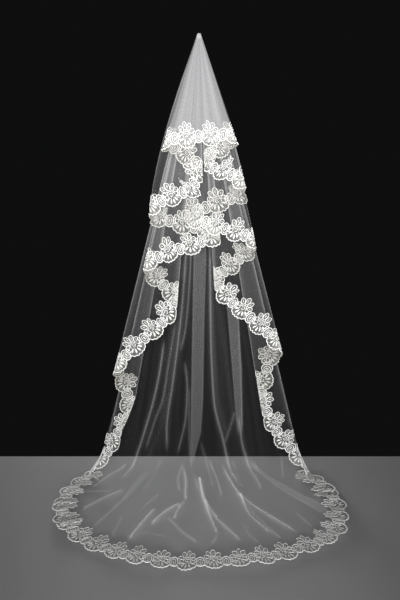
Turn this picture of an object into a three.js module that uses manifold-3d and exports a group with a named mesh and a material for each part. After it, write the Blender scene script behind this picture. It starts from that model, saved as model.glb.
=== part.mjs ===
// A long lace-edged bridal veil, hung from the gathered point between its short front tier and
// its long back. The origin is that point, +Z is up and the front of the veil faces -Y.
// All sizes are millimetres.
import * as THREE from "three";
import { mergeVertices } from "three/addons/utils/BufferGeometryUtils.js";
import Module from "manifold-3d";

const wasm = await Module();
wasm.setup();

// Driving sizes
const hangHeight = 1845;          // from the floor up to the hanging point
const tulleWall = 1.1;
const laceWall = 1.6;
const seamGap = 1.5;              // between the net and the lace border
const bendGap = 6;                // the same along a column where the seam crosses the bend steeply
const steepReach = 200;           // it does so where a column reaches less than this past the floor line
const topDrop = 8;                // where the separate layers start below the hanging point
const layerPitch = 1.5;           // spacing of the layers at the top
const layerSpread = 0.008;        // how much wider that spacing gets per unit of drop
const middleLayer = 8;            // the layer that hangs straight under the hanging point
const gatherHeight = 15;          // the fold lines meet this far above the hanging point
const floorLayer = 5;             // spacing of the layers where they lie on the floor
const floorGap = 0.6;             // under the lowest cloth, so that its corners stay over the floor
const bendRadius = 34;            // of the cloth where it turns from the wall on to the floor

// Lace repeat
const repeatLength = 94;
const laceRows = [
  { across: 0.0, edge: 22, lower: 34, upper: 46, inner: 58 },
  { across: 0.25, edge: 4, lower: 28, upper: 50, inner: 74 },
  { across: 0.5, edge: 0, lower: 26, upper: 56, inner: 94 },
  { across: 0.75, edge: 4, lower: 28, upper: 50, inner: 74 },
];
const openCells = [1, 2];         // cells of the middle row that are cut through, per repeat

// Train
const trainHalfWidth = 589;
const trainHalfAtWall = 495;
const trainStart = 70;            // how far out from the wall its edge reaches the floor
const trainStraight = 270;        // how far out its sides keep widening
const trainRound = 423;           // the rounded front beyond that
const trainPower = 2.2;           // squareness of the rounded front
const trainSlant = 1.15;          // how much longer its columns cut across the lace than its width
const trainFan = 0.3;             // how much more the middle of the cloth fans out than its sides

// The folds at each side, front to back. turn is the angle in the flat sheet, in degrees from the
// middle of the front; slope is sideways travel per unit of drop; drop is where the edge of the
// sheet hangs; behind is the layer of the panel that follows the fold.
const leftFolds = [
  { turn: 22, slope: -0.319, drop: 444, behind: 15 },
  { turn: 45, slope: 0.028, drop: 557, behind: 14 },
  { turn: 66, slope: -0.277, drop: 710, behind: 11 },
  { turn: 92, slope: 0.108, drop: 789, behind: 10 },
  { turn: 118, slope: -0.244, drop: 922, behind: 9 },
  { turn: 131, slope: -0.083, drop: 1108, behind: 8 },
  { turn: 145, slope: -0.262, drop: 1374, behind: 7 },
  { turn: 151, slope: -0.203, drop: 1623, behind: 6 },
];
const rightFolds = [
  { turn: 22, slope: 0.349, drop: 415, behind: 15 },
  { turn: 45, slope: 0.037, drop: 520, behind: 14 },
  { turn: 66, slope: 0.304, drop: 625, behind: 13 },
  { turn: 92, slope: -0.082, drop: 740, behind: 12 },
  { turn: 118, slope: 0.272, drop: 863, behind: 9 },
  { turn: 131, slope: 0.062, drop: 1024, behind: 8 },
  { turn: 145, slope: 0.271, drop: 1285, behind: 7 },
  { turn: 151, slope: 0.173, drop: 1535, behind: 6 },
];
const frontDrop = 426;
const frontLayer = 16;

// The back fall from its left edge to its right one, in soft ridges that carry on down the train.
// Where two rows share a slope the cloth turns back on itself, so that it lies three deep there.
const backFall = [
  { slope: -0.268, layer: 0 },
  { slope: -0.175, layer: 0 },
  { slope: -0.140, layer: 1.2 },
  { slope: -0.105, layer: 0 },
  { slope: -0.068, layer: 1.2 },
  { slope: -0.034, layer: 0 },
  { slope: -0.002, layer: 1.2 },
  { slope: 0.036, layer: 0 },
  { slope: 0.072, layer: 1 },
  { slope: 0.105, layer: 0 },
  { slope: 0.140, layer: 0 },
  { slope: 0.140, layer: 1 },
  { slope: 0.116, layer: 1 },
  { slope: 0.116, layer: 2 },
  { slope: 0.144, layer: 2 },
  { slope: 0.180, layer: 0 },
  { slope: 0.215, layer: 1 },
  { slope: 0.268, layer: 0 },
];
const backTurn = 156;             // where the back fall starts in the flat sheet
const backSlope = 0.268;
const backDrop = hangHeight - 5;  // the last panel of each side ends just above the train

// Rows of points in the net
const firstRow = 0.45;            // first row below the tip, as a share of each column's length
const wallRow = 0.72;             // next row of the back fall, as a share of the way down to the bend
const trainRow = 110;             // spacing of the rows that lie on the floor
const seamRow = 30;               // the last row keeps at least this far from the seam

// The gathered tip, half its width, depth and height
const tipSize = [13, 19, 11];
const tipBack = -0.6;             // where its middle lies

const partingGap = 0.4;           // between neighbouring nodes of the net
const sharpest = 0.6;             // least cosine of the angle by which a corner's wall is widened

const mix = (a, b, t) => a + (b - a) * t;

// Point on the outline of the train: way runs from -1 at its left end to 1 at its right end.
function trainEdge(way) {
  const steps = 60;
  const side = Math.sign(way) || 1;
  const outline = [];
  for (let i = 0; i <= steps; i++) {
    const angle = (i / steps) * Math.PI / 2;
    outline.push([
      trainHalfWidth * Math.sin(angle) ** (2 / trainPower),
      -trainStraight - trainRound * Math.cos(angle) ** (2 / trainPower),
    ]);
  }
  for (let i = 1; i <= steps; i++) {
    const t = i / steps;
    const half = mix(trainHalfAtWall, trainHalfWidth, 1 - t ** 2);
    outline.push([half, -mix(trainStraight, trainStart, t)]);
  }
  const lengths = [0];
  for (let i = 1; i < outline.length; i++) {
    const [x0, y0] = outline[i - 1];
    const [x1, y1] = outline[i];
    lengths.push(lengths[i - 1] + Math.hypot(x1 - x0, y1 - y0));
  }
  const target = Math.abs(way) * lengths[lengths.length - 1];
  let i = 1;
  while (i < lengths.length - 1 && lengths[i] < target) i++;
  const t = (target - lengths[i - 1]) / (lengths[i] - lengths[i - 1]);
  return [side * mix(outline[i - 1][0], outline[i][0], t), mix(outline[i - 1][1], outline[i][1], t)];
}

// Place of the cloth on one column, a length down from the hanging point.
function place(column, length) {
  const { slope, layer } = column;
  const turnDrop = hangHeight - bendRadius;
  const drop = column.train ? Math.min(length, turnDrop) : length;
  const x = slope * (drop + gatherHeight);
  const y = -(layer - middleLayer) * layerPitch - layer * layerSpread * drop;
  if (!column.train || length <= turnDrop) return new THREE.Vector3(x, y, -drop);

  const lift = laceWall / 2 + floorGap + layer * floorLayer;
  const bendLength = bendRadius * Math.PI / 2;
  const onward = Math.min((length - turnDrop) / bendLength, 1);
  const bend = onward * Math.PI / 2;
  const bentY = y - bendRadius * (1 - Math.cos(bend));
  const bentZ = -hangHeight + lift + (bendRadius - lift) * (1 - Math.sin(bend));
  if (onward < 1) return new THREE.Vector3(x, bentY, bentZ);

  const [edgeX, edgeY] = trainEdge(column.way);
  const run = Math.max(Math.hypot(edgeX - x, edgeY - bentY), 1);
  const t = (length - turnDrop - bendLength) / run;
  return new THREE.Vector3(mix(x, edgeX, t), mix(bentY, edgeY, t), bentZ);
}

function hangingColumn(turn, slope, drop, layer) {
  return { turn, slope, layer, reach: drop, train: false };
}

function trainColumn(turn, slope, layer) {
  const across = slope / backSlope;
  const way = across * (1 + trainFan * (1 - Math.abs(across)));
  const column = { turn, slope, layer, way, train: true };
  const [edgeX, edgeY] = trainEdge(way);
  const footX = slope * (hangHeight - bendRadius + gatherHeight);
  const footY = place(column, hangHeight - bendRadius).y - bendRadius;
  const run = Math.hypot(edgeX - footX, edgeY - footY);
  column.reach = hangHeight - bendRadius + bendRadius * Math.PI / 2 + run;
  return column;
}

// Columns of one panel, from one side of it to the other, one at every joint of two lace repeats.
function panel(first, last, between) {
  const repeats = Math.max(1, Math.round(edgeLength(first, last, between) / repeatLength));
  const columns = [];
  for (let i = 0; i <= repeats; i++) columns.push(between(first, last, i / repeats));
  columns.forEach((column, i) => {
    const before = columns[Math.max(i - 1, 0)];
    const after = columns[Math.min(i + 1, repeats)];
    column.stretch = slant(before, after);
  });
  return columns;
}

// Length of a panel's lower edge.
function edgeLength(first, last, between) {
  const steps = 24;
  const corner = (i) => {
    const column = between(first, last, i / steps);
    return place(column, column.reach);
  };
  let length = 0;
  for (let i = 0; i < steps; i++) length += corner(i).distanceTo(corner(i + 1));
  return length;
}

function betweenHanging(a, b, t) {
  const at = (key) => mix(a[key], b[key], t);
  return hangingColumn(at("turn"), at("slope"), at("reach"), at("layer"));
}

function betweenTrain(a, b, t) {
  return trainColumn(mix(a.turn, b.turn, t), mix(a.slope, b.slope, t), mix(a.layer, b.layer, t));
}

// The panels of one side, front to back.
function sidePanels(folds, sign) {
  const panels = [];
  const last = { turn: backTurn, slope: sign * backSlope, drop: backDrop };
  for (let i = 0; i < folds.length; i++) {
    const next = folds[i + 1] ?? last;
    const layer = folds[i].behind;
    const a = hangingColumn(sign * folds[i].turn, folds[i].slope, folds[i].drop, layer);
    const b = hangingColumn(sign * next.turn, next.slope, next.drop, layer);
    panels.push(panel(a, b, betweenHanging));
  }
  return panels;
}

function backPanels() {
  const panels = [];
  const turnAt = (slope) => 180 + (180 - backTurn) * slope / backSlope;
  for (let i = 0; i + 1 < backFall.length; i++) {
    const from = backFall[i];
    const to = backFall[i + 1];
    if (from.slope === to.slope) continue;
    const a = trainColumn(turnAt(from.slope), from.slope, from.layer);
    const b = trainColumn(turnAt(to.slope), to.slope, to.layer);
    panels.push(panel(a, b, betweenTrain));
  }
  return panels;
}

// All panels, once round the sheet: the right side from back to front, the front tier, the left side
// from front to back, and the back fall from left to right. The first three hang in the air.
function allPanels() {
  const front = panel(
    hangingColumn(rightFolds[0].turn, rightFolds[0].slope, rightFolds[0].drop, frontLayer),
    hangingColumn(-leftFolds[0].turn, leftFolds[0].slope, leftFolds[0].drop, frontLayer),
    (a, b, t) => {
      const column = betweenHanging(a, b, t);
      column.reach += (frontDrop - (a.reach + b.reach) / 2) * Math.sin(Math.PI * t);
      return column;
    },
  );
  const left = sidePanels(leftFolds, -1);
  const right = sidePanels(rightFolds, 1).reverse().map((columns) => columns.reverse());
  const hanging = [...right, front, ...left];
  const back = backPanels();
  const ring = [...hanging, ...back];
  ring.forEach((columns, i) => {
    const here = columns.at(-1);
    const there = ring[(i + 1) % ring.length][0];
    here.stretch = there.stretch = (here.stretch + there.stretch) / 2;
  });
  return { hanging, back };
}

// How much longer a slanting cut across the band is than its width.
function slant(a, b) {
  if (a.train || b.train) return trainSlant;
  const radius = (a.reach + b.reach) / 2;
  const along = radius * THREE.MathUtils.degToRad(Math.abs(a.turn - b.turn));
  return Math.hypot(1, (a.reach - b.reach) / along);
}

// Fine columns of the lace along a chain of panels, each with its row heights. Folds are single cells.
function laceColumns(panels) {
  const fine = [];
  for (const columns of panels) {
    for (let i = 0; i + 1 < columns.length; i++) {
      for (const row of laceRows) {
        fine.push({ ...fineColumn(columns[i], columns[i + 1], row.across), ...row, kind: "repeat" });
      }
    }
    fine.push({ ...columns.at(-1), ...laceRows[0], kind: "fold" });
  }
  return fine;
}

function fineColumn(a, b, t) {
  const column = a.train ? betweenTrain(a, b, t) : betweenHanging(a, b, t);
  column.stretch = mix(a.stretch, b.stretch, t);
  return column;
}

const lengthAt = (column, rowHeight) => column.reach - rowHeight * column.stretch;

// A sheet of triangles to be thickened. Points are kept once, by column and length.
class Sheet {
  constructor() {
    this.points = [];
    this.triangles = [];
  }
  add(point) {
    this.points.push(point);
    return this.points.length - 1;
  }
  triangle(a, b, c) {
    if (a !== b && b !== c && c !== a) this.triangles.push([a, b, c]);
  }
  quad(a, b, c, d) {
    this.triangle(a, b, c);
    this.triangle(a, c, d);
  }
}

// A closed solid: the sheet moved out and in by half the wall, with a rim along its free edges.
// At a corner it moves further, so that the wall keeps its thickness, but by no more than sharpest allows.
function thicken(sheet, wall) {
  const normals = sheet.points.map(() => new THREE.Vector3());
  const faceNormals = [];
  for (const [a, b, c] of sheet.triangles) {
    const [pa, pb, pc] = [a, b, c].map((i) => sheet.points[i]);
    const face = new THREE.Triangle(pa, pb, pc).getNormal(new THREE.Vector3());
    faceNormals.push(face);
    for (const [i, j, k] of [[a, b, c], [b, c, a], [c, a, b]]) {
      const u = sheet.points[j].clone().sub(sheet.points[i]);
      const v = sheet.points[k].clone().sub(sheet.points[i]);
      normals[i].addScaledVector(face, u.angleTo(v));
    }
  }
  const least = sheet.points.map(() => 1);
  normals.forEach((normal) => normal.normalize());
  sheet.triangles.forEach((triangle, index) => {
    for (const i of triangle) least[i] = Math.min(least[i], normals[i].dot(faceNormals[index]));
  });
  const count = sheet.points.length;
  const positions = [];
  for (const side of [1, -1]) {
    sheet.points.forEach((point, i) => {
      const offset = side * wall / 2 / Math.max(least[i], sharpest);
      positions.push(...point.clone().addScaledVector(normals[i], offset).toArray());
    });
  }
  const index = [];
  const edges = new Map();
  for (const [a, b, c] of sheet.triangles) {
    index.push(a, b, c, a + count, c + count, b + count);
    for (const [i, j] of [[a, b], [b, c], [c, a]]) {
      if (edges.has(`${j} ${i}`)) edges.delete(`${j} ${i}`);
      else edges.set(`${i} ${j}`, [i, j]);
    }
  }
  for (const [i, j] of edges.values()) {
    index.push(j, i, i + count, j, i + count, j + count);
  }
  return toGeometry(positions, index);
}

function toGeometry(positions, index) {
  const geometry = new THREE.BufferGeometry();
  geometry.setAttribute("position", new THREE.Float32BufferAttribute(positions, 3));
  geometry.setIndex(index);
  return geometry;
}

// The lace along a chain of panels: three rows of cells between the scalloped edge and the seam, the
// middle one pierced. extra makes it a little larger at the seam and in the wall.
function laceBorder(panels, extra = 0) {
  const fine = laceColumns(panels);
  const sheet = new Sheet();
  const rows = ["inner", "upper", "lower", "edge"];
  const height = (column, row) => column[row] + (row === "inner" ? extra : 0);
  const point = (column, row) => sheet.add(place(column, lengthAt(column, height(column, row))));
  const ids = fine.map((column) => rows.map((row) => point(column, row)));
  fine.slice(0, -1).forEach((column, i) => {
    const cell = laceRows.findIndex((row) => row.across === column.across);
    for (let r = 0; r < 3; r++) {
      if (r === 1 && column.kind === "repeat" && openCells.includes(cell)) continue;
      sheet.quad(ids[i][r], ids[i + 1][r], ids[i + 1][r + 1], ids[i][r + 1]);
    }
  });
  return thicken(sheet, laceWall + extra);
}

// Lengths where a column of the net has a point, between its top and its seam.
function netLengths(column, seam) {
  const turnDrop = hangHeight - bendRadius;
  const bendLength = bendRadius * Math.PI / 2;
  const lengths = [column.reach * firstRow];
  if (column.train) {
    lengths.push(turnDrop * wallRow, turnDrop, turnDrop + bendLength / 2, turnDrop + bendLength);
    const start = turnDrop + bendLength + trainRow;
    for (let length = start; length < seam; length += trainRow) lengths.push(length);
  }
  return [...lengths.filter((length) => length < seam - seamRow), seam];
}

// Joins two neighbouring columns of points with triangles, always stepping down the shorter one.
function zip(sheet, left, right) {
  let i = 0;
  let j = 0;
  while (i + 2 < left.length || j + 2 < right.length) {
    const leftIsNext = i + 2 < left.length && left[i + 1].length < right[j + 1].length;
    const stepLeft = j + 2 >= right.length || leftIsNext;
    if (stepLeft) {
      sheet.triangle(left[i].id, right[j].id, left[i + 1].id);
      i += 1;
    } else {
      sheet.triangle(left[i].id, right[j].id, right[j + 1].id);
      j += 1;
    }
  }
  return [left[i].id, right[j].id];
}

// Columns of the net in one panel. Where the seam crosses the bend at the floor they stand closer.
function netColumns(columns) {
  const stops = [];
  for (let i = 0; i + 1 < columns.length; i++) {
    const [a, b] = [columns[i], columns[i + 1]];
    const between = laceRows.slice(1).map((row) => ({ ...fineColumn(a, b, row.across), ...row }));
    const close = a.train && Math.min(a.reach, b.reach) < hangHeight + steepReach;
    stops.push({ column: { ...a, ...laceRows[0] }, seam: close ? [] : between });
    if (close) between.forEach((column) => stops.push({ column: { ...column, gap: bendGap }, seam: [] }));
  }
  stops.push({ column: { ...columns.at(-1), ...laceRows[0] }, seam: [] });
  return stops;
}

// The net of a chain of panels, from the gathered tip down to the seam with the lace.
function net(panels) {
  const sheet = new Sheet();
  const tops = [];
  const seamLength = (column) => lengthAt(column, column.inner + (column.gap ?? seamGap));
  const made = panels.map((columns) => {
    const stops = netColumns(columns);
    const post = (column, length) => ({ length, id: sheet.add(place(column, length)) });
    const posts = stops.map(({ column }) => (
      netLengths(column, seamLength(column)).map((length) => post(column, length))));
    const top = [columns[0], columns.at(-1)].map((column) => sheet.add(place(column, topDrop)));
    tops.push(top);
    // a fan from the two top corners to the first row of points
    const middle = Math.floor(posts.length / 2);
    for (let i = 0; i + 1 < posts.length; i++) {
      const corner = i < middle ? top[0] : top[1];
      sheet.triangle(corner, posts[i + 1][0].id, posts[i][0].id);
    }
    sheet.triangle(top[0], top[1], posts[middle][0].id);
    for (let i = 0; i + 1 < posts.length; i++) {
      const [a, b] = zip(sheet, posts[i], posts[i + 1]);
      const between = stops[i].seam.map((column) => sheet.add(place(column, seamLength(column))));
      const seam = [posts[i].at(-1).id, ...between, posts[i + 1].at(-1).id];
      const half = Math.floor(seam.length / 2);
      seam.slice(1).forEach((id, k) => sheet.triangle(k < half ? a : b, id, seam[k]));
      sheet.triangle(a, b, seam[half]);
    }
    return posts;
  });
  made.slice(0, -1).forEach((posts, i) => {
    const here = [{ id: tops[i][1], length: topDrop }, ...posts.at(-1)];
    const there = [{ id: tops[i + 1][0], length: topDrop }, ...made[i + 1][0]];
    const [a, b] = zip(sheet, here, there);
    sheet.quad(a, b, there.at(-1).id, here.at(-1).id);
  });
  return thicken(sheet, tulleWall);
}

function toSolid(geometry) {
  geometry.deleteAttribute("normal");
  geometry.deleteAttribute("uv");
  const merged = mergeVertices(geometry, 1e-4);
  return new wasm.Manifold(new wasm.Mesh({
    numProp: 3,
    vertProperties: new Float32Array(merged.attributes.position.array),
    triVerts: new Uint32Array(merged.index.array),
  }));
}

function fromSolid(solid) {
  const mesh = solid.getMesh();
  return toGeometry(Array.from(mesh.vertProperties), Array.from(mesh.triVerts));
}

const largest = (solid) => solid.decompose().reduce((a, b) => (a.volume() > b.volume() ? a : b));

// The small gathered tip where all the layers come together.
function gatheredTip(extra = 0) {
  const tip = new THREE.SphereGeometry(1, 20, 12);
  tip.rotateX(Math.PI / 2);
  tip.scale(...tipSize.map((half) => half + extra));
  tip.translate(0, tipBack, -tipSize[2]);
  return toSolid(tip);
}

// The net of a chain of panels, clear of the lace all along the seam and of the tip.
function clearNet(panels) {
  const lace = toSolid(laceBorder(panels, seamGap / 2));
  const below = toSolid(net(panels)).subtract(gatheredTip(partingGap));
  return largest(below.subtract(lace));
}

// The back sheet is parted into the back fall and the train.
function backSheet(panels) {
  const whole = clearNet(panels);
  const level = bendRadius - hangHeight;
  const above = whole.trimByPlane([0, 0, 1], level + partingGap / 2);
  const below = whole.trimByPlane([0, 0, -1], partingGap / 2 - level);
  return [above, below].map((solid) => fromSolid(largest(solid)));
}

const netMaterial = new THREE.MeshStandardMaterial({ color: 0xe9e8e4, roughness: 0.85, metalness: 0 });
const laceMaterial = new THREE.MeshStandardMaterial({ color: 0xf4f2ec, roughness: 0.7, metalness: 0 });

function named(name, geometry, material) {
  geometry.computeVertexNormals();
  const mesh = new THREE.Mesh(geometry, material);
  mesh.name = name;
  return mesh;
}

const { hanging, back } = allPanels();
const [backFallNet, trainNet] = backSheet(back);
const veil = new THREE.Group();
veil.add(named("gathered_tip", fromSolid(gatheredTip()), netMaterial));
veil.add(named("front_and_sides", fromSolid(clearNet(hanging)), netMaterial));
veil.add(named("back_fall", backFallNet, netMaterial));
veil.add(named("train", trainNet, netMaterial));
veil.add(named("hanging_lace", laceBorder(hanging), laceMaterial));
veil.add(named("train_lace", laceBorder(back), laceMaterial));

export default veil;
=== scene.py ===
"""A long lace-edged bridal veil, hung from its gathered tip in front of a dark studio."""
import math

import bpy
import numpy as np
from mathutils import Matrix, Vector


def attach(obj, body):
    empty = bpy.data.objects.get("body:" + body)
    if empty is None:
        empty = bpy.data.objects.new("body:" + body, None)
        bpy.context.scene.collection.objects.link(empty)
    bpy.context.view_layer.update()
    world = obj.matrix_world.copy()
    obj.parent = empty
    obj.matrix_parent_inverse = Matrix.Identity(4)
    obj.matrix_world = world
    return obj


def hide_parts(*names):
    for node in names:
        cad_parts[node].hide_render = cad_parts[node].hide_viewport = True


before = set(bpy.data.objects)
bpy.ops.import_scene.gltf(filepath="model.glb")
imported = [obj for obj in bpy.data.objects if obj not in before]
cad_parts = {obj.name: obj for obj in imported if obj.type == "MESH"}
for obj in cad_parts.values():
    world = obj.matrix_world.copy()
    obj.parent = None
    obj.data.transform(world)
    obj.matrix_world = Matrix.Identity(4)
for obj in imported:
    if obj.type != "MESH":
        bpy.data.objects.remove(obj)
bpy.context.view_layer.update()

# Sizes of the hung cloth, in metres, as in the frame. The origin is the hanging point.
HANG_HEIGHT = 1.845
FLOOR = -HANG_HEIGHT
LAYER_PITCH = 0.0015         # spacing of the layers at the tip
LAYER_SPREAD = 0.008         # how much wider that spacing gets per unit of drop
MIDDLE_LAYER = 8             # the layer straight under the hanging point
GATHER = 0.015               # the fold lines meet this far above the hanging point
TOP_DROP = 0.004             # where the panels start, inside the gathered tip
FRONT_LAYER = 16

# Lace
REPEAT = 0.094
LACE_STRETCH = 1.12          # of the motif across the band
UNEVEN = (0.0012, 0.0018, 0.035, 0.10)  # spread of a repeat's shifts along and inwards, growth and lean

# Train
TRAIN_FOLDS = (              # where its lace is folded back on itself, along the lace from the left corner
    dict(start=0.375, length=0.024),
    dict(start=0.545, length=0.020),
    dict(start=2.080, length=0.024),
)
TRAIN_HALF_WIDTH = 0.589
TRAIN_HALF_AT_WALL = 0.498
TRAIN_START = 0.020
CORNER_TURN = 0.050          # how far the lace runs inwards at the corners
TRAIN_STRAIGHT = 0.270
TRAIN_ROUND = 0.423
TRAIN_POWER = 2.2
BEND_RADIUS = 0.034
FRONT_FULLER = 0.018         # how far the train's front reaches out past an even oval
FRONT_FULLER_TO = 34         # this ends at that angle from the middle, in degrees
FRONT_FULLER_FADE = 14       # and is full from so many degrees before it
RIGHT_FULLER = 0.032         # how far its right front corner reaches out
RIGHT_FULLER_AT = 44         # the angle of that corner
RIGHT_FULLER_SPREAD = 13     # how far it spreads to both sides
EDGE_RUMPLE = 0.0022         # of the lace edge on the floor
CLOTH_LIFT = 0.0015          # middle of the cloth above the floor
LACE_LIFT = 0.0022           # of the train's lace for each layer under it

# One row for each fold at a side, front to back. slope is sideways travel per unit of drop, drop is
# where the cloth's edge comes to the fold, step is how much lower it leaves it, behind is the layer of
# the panel that follows, and lace is the part of a repeat of the lace that lies on the fold. Some folds
# flare: near the floor their slope grows by that share. Some bulge: at the tip their slope is that
# share more, and it comes back to the row's own slope where the cloth's edge comes to the fold.
LEFT_FOLDS = (
    dict(slope=-0.319, drop=0.444, step=0.008, behind=15, lace=0.77),
    dict(slope=0.028, drop=0.555, step=0.066, behind=14, lace=0.05),
    dict(slope=-0.277, drop=0.706, step=0.032, behind=11, lace=0.19, bulge=0.31),
    dict(slope=0.108, drop=0.815, step=0.004, behind=10, lace=0.35),
    dict(slope=-0.244, drop=0.930, step=0.028, behind=9, lace=0.19),
    dict(slope=-0.083, drop=1.084, step=0.069, behind=8, lace=0.57),
    dict(slope=-0.262, drop=1.372, step=0.030, behind=7, lace=0.30),
    dict(slope=-0.182, drop=1.620, step=0.128, behind=6, lace=0.53, flare=0.115),
    dict(slope=-0.238, drop=1.880, step=0, behind=0, lace=0, flare=0.150),
)
RIGHT_FOLDS = (
    dict(slope=0.349, drop=0.420, step=0.022, behind=15, lace=0.44),
    dict(slope=0.037, drop=0.516, step=0.030, behind=14, lace=0.45),
    dict(slope=0.304, drop=0.605, step=0.044, behind=13, lace=0.90, bulge=0.13),
    dict(slope=-0.082, drop=0.740, step=0, behind=12, lace=0.10),
    dict(slope=0.272, drop=0.838, step=0.028, behind=9, lace=0.14, bulge=0.12),
    dict(slope=0.062, drop=1.004, step=0.053, behind=8, lace=0.93),
    dict(slope=0.271, drop=1.282, step=0.010, behind=7, lace=0.87),
    dict(slope=0.173, drop=1.532, step=0.125, behind=6, lace=0.75),
    dict(slope=0.251, drop=1.880, step=0, behind=0, lace=0, flare=0.072),
)

FLARE_LENGTH = 0.165         # a flare starts this far above the fold's lower end
FLARE_POWER = 1.3            # how gently it starts
BULGE_POWER = 2.3            # how late a bulge goes back
STEP_TURN = 0.012            # half the angle over which the edge goes down at a fold
FOLD_ROUND = 0.0045          # how far a fold bulges, in radians from the tip, for each layer it spans
LAYER_ARC = 0.009            # length of cloth in a fold for each layer, in the same radians
FOLD_STEPS = 8               # mesh columns round a fold
PANEL_STEP = 0.016           # radians from one mesh column of a panel to the next
WAVE = 0.22                  # soft waves of the panels, in layers
EDGE_POINTS = 3000           # along the outer edge of the fan
FRONT_ROWS = 84              # of the net's mesh
BACK_COLUMNS = 380
TOP_ROWS = 24                # of the back fall, down to FINE_FROM
FINE_FROM = 0.8
LOW_ROWS = 56                # and from there to the floor
TRAIN_ROWS = 84
EDGE_NET = 0.016             # the net ends this far inside the outer edge, under the lace ground
TIP_SIZE = (0.010, 0.014, 0.011)  # half its width, depth and height

# Covering power of the net, as the share of what lies behind it that its threads hide
NET_COVER = 0.012
NET_GATHER = 4.2             # how many times more near the tip, where the cloth is gathered finely
EVENLY_GATHERED = 0.30       # nearer the tip than this it stays the same
GATHER_FADE = 0.35           # below, it falls to about a third over each such distance
SIDE_GATHER = 0.54           # of that, what the sides take
FRONT_COVER = 0.165          # of the front tier, which has more cloth in its width than the sides
FRONT_FADE = 0.02            # radians over which that begins at the front tier's edges
TIP_COVER = 0.12             # of the gathered tip
FOLD_COVER = 0.16            # at the rounded folds, where the cloth is seen edge on
FOLD_WIDTH = 0.005           # of that cloth, to each side of the fold
FOLDS_FROM = 0.32            # nearer the tip than this the folds don't show on the gathered net
BULGED_FROM = 0.04           # but the fold that bulges most shows from here
FOLDS_FADE = 0.2             # and over this distance a fold comes to show in full
UNDERSIDE_SHADE_SHARE = 0.30       # how far the thread undersides, seen on the lace's wrong side, go to their painted shade colour
CORNER_SHADE_REACH = 0.045          # and how far from a folded corner that painted shade is full
GROUND_COVER = 0.18          # of the denser ground in the lace

# Colours, the mesh of the net and of the lace's ground, and the stage
NET_COLOUR = (0.90, 0.90, 0.915, 1)
NET_CELLS = 620
# The lace ground is a darker cream than its threads. This is painted shade, and it also shades the cords
# seen through it on the lace's wrong side
GROUND_COLOUR = (0.56, 0.55, 0.50, 1)
GROUND_CELLS = 700
FLOOR_COLOUR = (0.36, 0.36, 0.365, 1)
FLOOR_HALF = 4.0             # the floor goes this far out
FLOOR_BACK = 0.13            # and ends here behind the veil
FLOOR_SINK = 0.0006
STUDIO_COLOUR = (0.0045, 0.0046, 0.0048, 1)
LIGHTS = (
    dict(name="key", place=(-1.3, -4.7, -0.60), target=(0, 0, -0.30), size=1.4, power=19, spread=44),
    dict(name="fill", place=(2.3, -4.2, -0.75), target=(0, -0.1, -0.4), size=1.4, power=7, spread=44),
    dict(name="train", place=(0.1, -2.2, 0.3), target=(0, -0.50, -1.84), size=0.8, power=0.9, spread=50),
    dict(name="low", place=(0.1, -3.4, -1.50), target=(0, -0.60, -1.84), size=1.0, power=5, spread=50),
    dict(name="back", place=(-1.2, 3.6, -1.2), target=(0, 0, -0.8), size=1.2, power=34, spread=90),
    dict(name="side", place=(-3.6, -0.6, -1.2), target=(0, -0.2, -0.8), size=1.2, power=7, spread=90),
    dict(name="side", place=(3.6, -0.6, -1.2), target=(0, -0.2, -0.8), size=1.2, power=7, spread=90),
    dict(name="top", place=(0.2, -1.5, 0.45), target=(0, -0.05, -0.30), size=0.5, power=2.6, spread=80),
)
CAMERA_PLACE = (0.004, -2.496, -0.530)
CAMERA_DOWN = 12             # degrees that it is tilted down
CAMERA_LENS = 36
CAMERA_SENSOR = 36

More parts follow.
